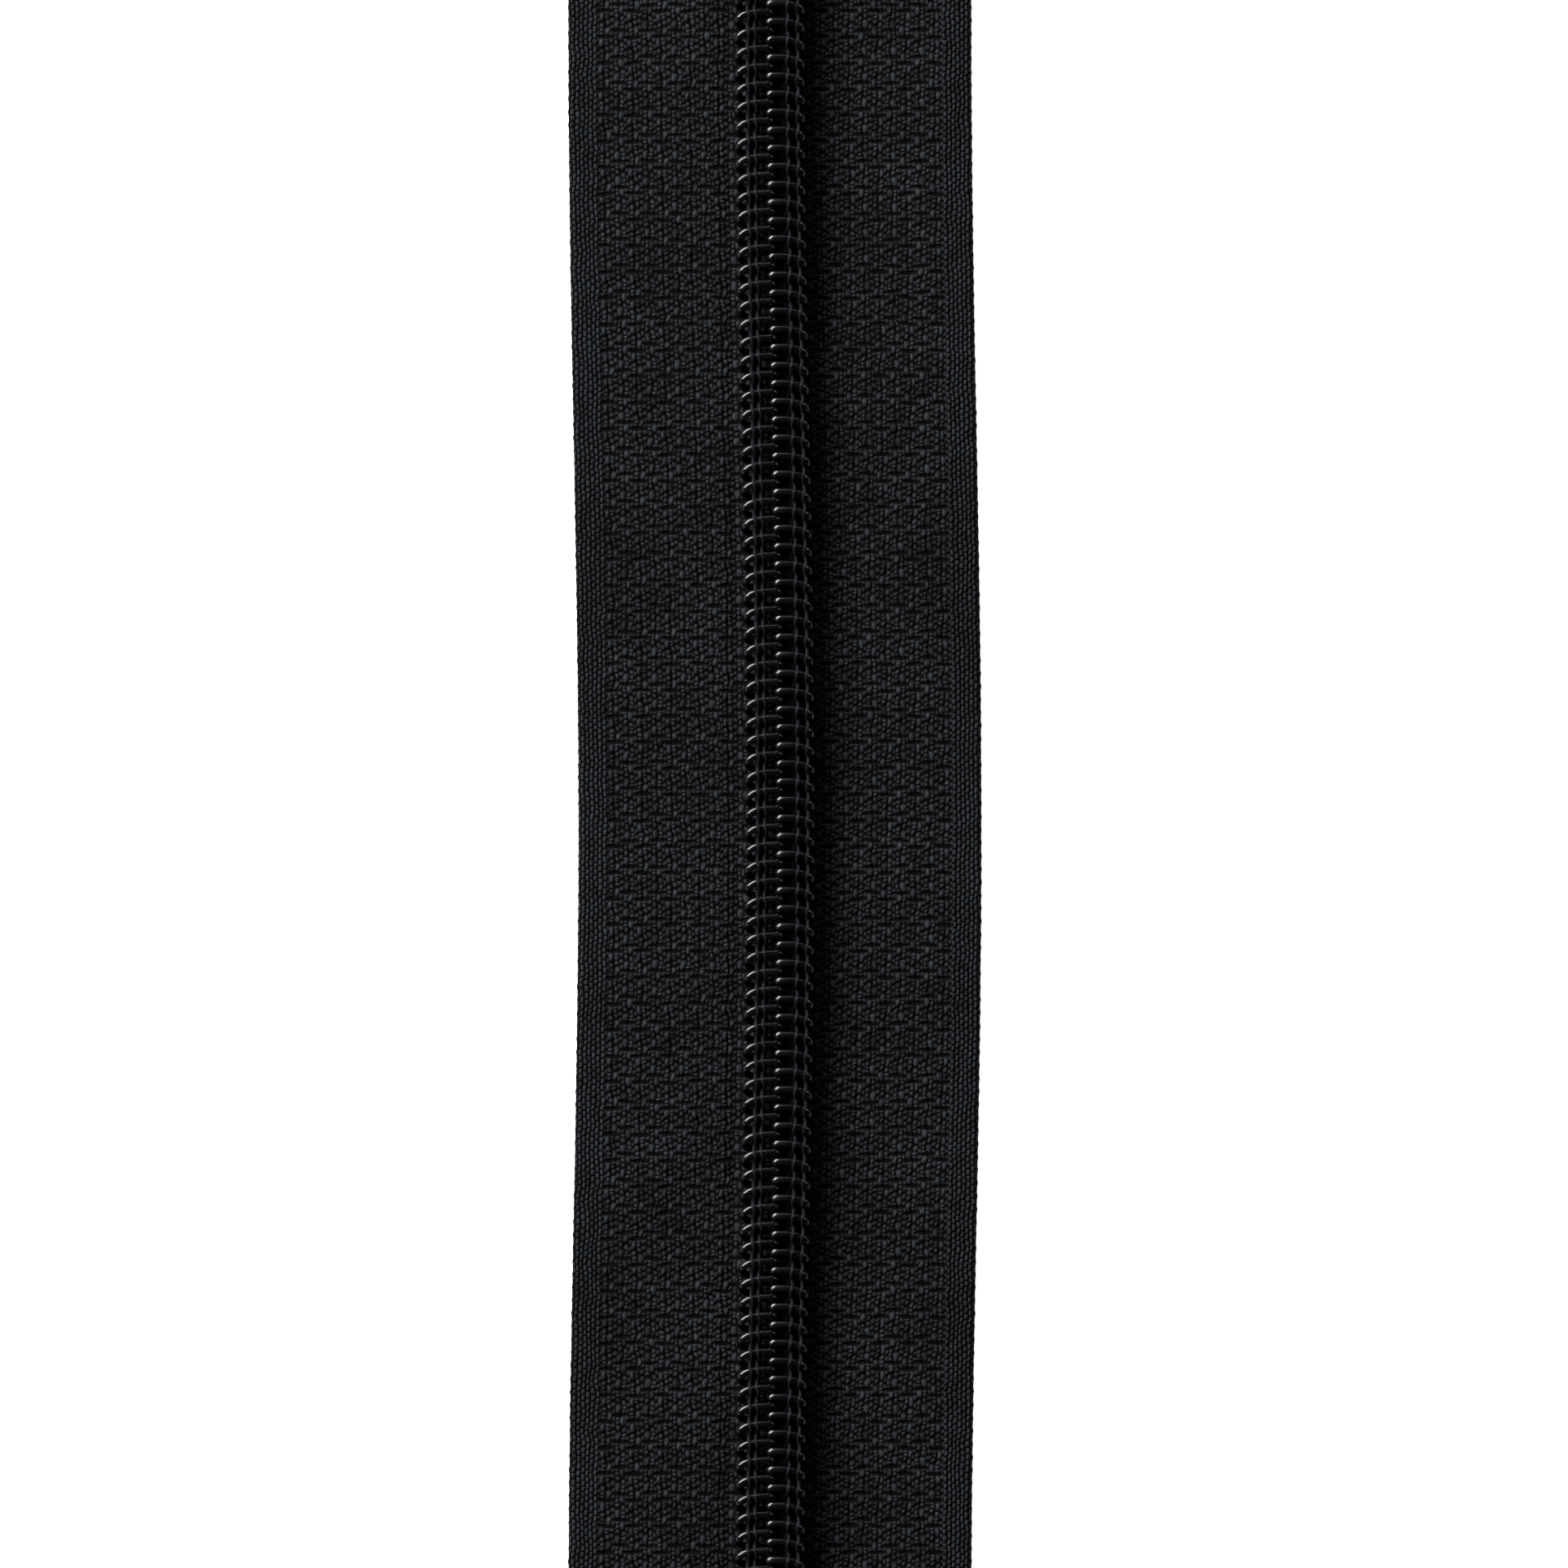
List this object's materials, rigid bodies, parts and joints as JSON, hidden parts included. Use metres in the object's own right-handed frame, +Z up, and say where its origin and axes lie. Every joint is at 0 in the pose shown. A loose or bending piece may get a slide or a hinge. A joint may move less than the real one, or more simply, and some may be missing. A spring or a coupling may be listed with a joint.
{
  "type": "coil zipper",
  "caption": "Closed-end coil zipper: two woven tapes with sewn interlocking coils, end stops, and an auto-lock slider with a pull tab.",
  "frame": {"origin": "centre of the length and width, on the surface that the slider's lower plate rests on", "axes": "+X across the tapes to the right as seen from the coil side, +Y along the chain towards the top stops, +Z up from the surface, towards the coil side"},
  "size_m": [0.039, 0.196, 0.008],
  "materials": {
    "tape_fabric": "woven polyester, matte",
    "nylon_coil": "glossy monofilament",
    "filler_cord": "knitted cord",
    "sewing_thread": "twisted thread",
    "slider_enamel": "semi-gloss enamel",
    "spring_steel": "satin",
    "stop_metal": "semi-gloss enamel"
  },
  "bodies": {
    "bottom_end": {"bottom_stop": "stop_metal", "tape_tail_left": "tape_fabric", "tape_tail_right": "tape_fabric"},
    "stringer_left": {"tape_left": "tape_fabric", "coil_left": "nylon_coil", "filler_cord_left": "filler_cord", "needle_thread_inner_left": "sewing_thread", "needle_thread_outer_left": "sewing_thread", "looper_thread_inner_left": "sewing_thread", "looper_thread_outer_left": "sewing_thread", "top_stop_left": "stop_metal"},
    "stringer_right": {"tape_right": "tape_fabric", "coil_right": "nylon_coil", "filler_cord_right": "filler_cord", "needle_thread_inner_right": "sewing_thread", "needle_thread_outer_right": "sewing_thread", "looper_thread_inner_right": "sewing_thread", "looper_thread_outer_right": "sewing_thread", "top_stop_right": "stop_metal"},
    "slider": {"slider_body": "slider_enamel", "slider_crown": "slider_enamel"},
    "pull": {"pull_tab": "slider_enamel"},
    "lock": {"locking_spring": "spring_steel"}
  },
  "joints": [
    {"name": "slider_travel", "type": "slide", "parent": "bottom_end", "child": "slider", "axis": [0, -1, 0], "range_m": [0, 0.135], "deforming": ["coil_left", "filler_cord_left", "needle_thread_inner_left", "needle_thread_outer_left", "looper_thread_inner_left", "looper_thread_outer_left", "coil_right", "filler_cord_right", "needle_thread_inner_right", "needle_thread_outer_right", "looper_thread_inner_right", "looper_thread_outer_right"]},
    {"name": "left_side_opens", "type": "hinge", "parent": "bottom_end", "child": "stringer_left", "pos_m": [-0.016, -0.0665, 0.0015], "axis": [0, 0, 1], "range_deg": [0, 12.01]},
    {"name": "right_side_opens", "type": "hinge", "parent": "bottom_end", "child": "stringer_right", "pos_m": [0.016, -0.0665, 0.0015], "axis": [0, 0, -1], "range_deg": [0, 12.01]},
    {"name": "pull_tab_swings", "type": "hinge", "parent": "slider", "child": "pull", "pos_m": [0, 0.07235, 0.00585], "axis": [1, 0, 0], "range_deg": [0, 180]},
    {"name": "pawl_lifts", "type": "hinge", "parent": "slider", "child": "lock", "pos_m": [0, 0.0763, 0.00662], "axis": [-1, 0, 0], "range_deg": [0, 5], "stiffness_Nm_per_rad": 0.02, "springref_deg": -2.86}
  ],
  "couplings": [
    {"joint": "left_side_opens", "follows": "slider_travel", "rad_per_m": 1.5514},
    {"joint": "right_side_opens", "follows": "slider_travel", "rad_per_m": 1.5514}
  ]
}
